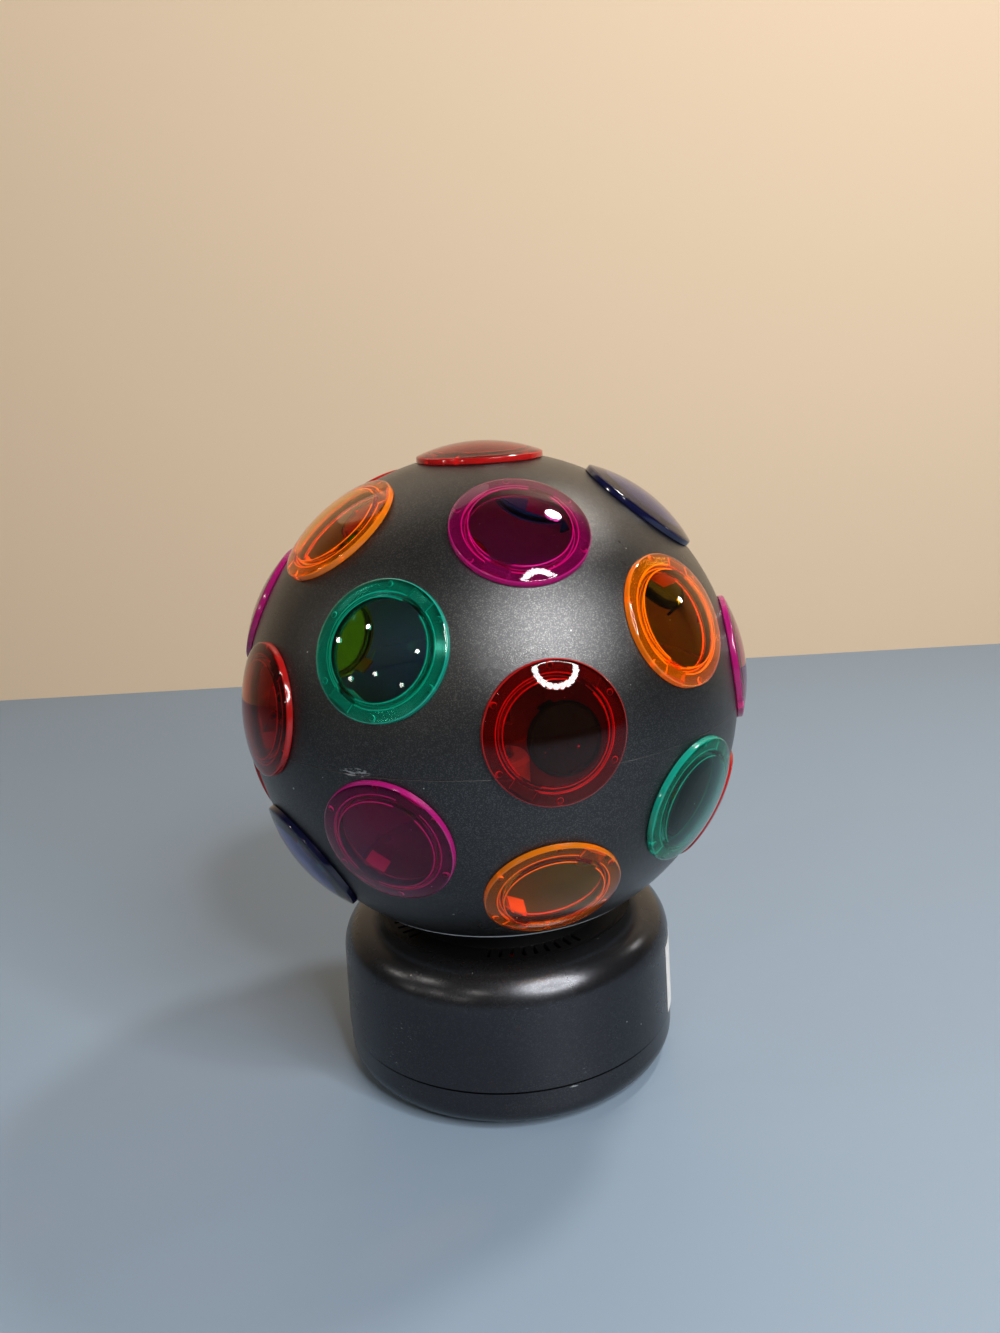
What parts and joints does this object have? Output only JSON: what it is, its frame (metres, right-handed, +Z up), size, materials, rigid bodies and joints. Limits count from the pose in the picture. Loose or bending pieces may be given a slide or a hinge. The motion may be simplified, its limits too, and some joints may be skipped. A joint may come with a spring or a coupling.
{
  "type": "disco ball light",
  "caption": "Table-top disco ball light: a dark metallic ball studded with clear coloured lenses, which a geared motor turns on a round vented base around a small lamp.",
  "frame": {"origin": "on the floor, under the ball's turning axis", "axes": "+Z up along the turning axis, -Y towards the front, +X to the right seen from the front"},
  "size_m": [0.2064, 0.2052, 0.2642],
  "materials": {
    "charcoal_paint": "satin metallic charcoal paint with fine flake",
    "black_plastic": "moulded black",
    "white_plastic": "natural moulded",
    "steel": "zinc plated",
    "brass": "plated",
    "rubber": "moulded black",
    "bulb_glass": "clear",
    "red_insulation": "soft insulation",
    "white_insulation": "soft insulation",
    "blue_insulation": "soft insulation",
    "lens_red": "clear tinted",
    "lens_magenta": "clear tinted",
    "lens_orange": "clear tinted",
    "lens_green": "clear tinted",
    "lens_blue": "clear tinted"
  },
  "bodies": {
    "base": {"base_housing": "charcoal_paint", "bottom_cover": "charcoal_paint", "thrust_washer": "white_plastic", "cover_screws": "steel", "rubber_feet": "rubber", "lamp_post": "steel", "post_nut": "steel", "lamp_holder": "white_plastic", "bulb_cap": "brass", "bulb_glass": "bulb_glass", "bulb_filament": "steel", "motor_can": "steel", "motor_face_plate": "steel", "motor_screws": "steel", "switch_body": "black_plastic", "switch_terminals": "brass", "cord_bush": "rubber", "terminal_block": "white_plastic", "lamp_leads": "red_insulation", "motor_leads": "white_insulation", "switch_leads": "blue_insulation"},
    "ball": {"upper_ball_shell": "charcoal_paint", "lower_ball_shell": "charcoal_paint", "lens_top": "lens_red", "lens_upper_1": "lens_magenta", "lens_upper_2": "lens_blue", "lens_upper_3": "lens_green", "lens_upper_4": "lens_red", "lens_upper_5": "lens_orange", "lens_shoulder_1": "lens_orange", "lens_shoulder_2": "lens_blue", "lens_shoulder_3": "lens_red", "lens_shoulder_4": "lens_magenta", "lens_shoulder_5": "lens_green", "lens_equator_1": "lens_red", "lens_equator_2": "lens_magenta", "lens_equator_3": "lens_green", "lens_equator_4": "lens_orange", "lens_equator_5": "lens_red", "lens_belly_1": "lens_green", "lens_belly_2": "lens_orange", "lens_belly_3": "lens_blue", "lens_belly_4": "lens_red", "lens_belly_5": "lens_magenta", "lens_lower_1": "lens_orange", "lens_lower_2": "lens_red", "lens_lower_3": "lens_green", "lens_lower_4": "lens_magenta", "lens_lower_5": "lens_blue", "turntable": "black_plastic", "turntable_screws": "steel"},
    "pinion": {"motor_shaft": "steel", "motor_pinion": "white_plastic"},
    "rocker": {"switch_rocker": "black_plastic"}
  },
  "joints": [
    {"name": "ball_spin", "type": "hinge", "parent": "base", "child": "ball", "pos_m": [0, 0, 0.15996], "axis": [0, 0, 1], "continuous": true},
    {"name": "pinion_spin", "type": "hinge", "parent": "base", "child": "pinion", "pos_m": [0.01572, 0.02555, 0.074], "axis": [0, 0, 1], "continuous": true},
    {"name": "rocker_press", "type": "hinge", "parent": "base", "child": "rocker", "pos_m": [0, 0.067, 0.037], "axis": [1, 0, 0], "range_deg": [0, 20]}
  ],
  "couplings": [
    {"joint": "pinion_spin", "follows": "ball_spin", "ratio": -4}
  ]
}
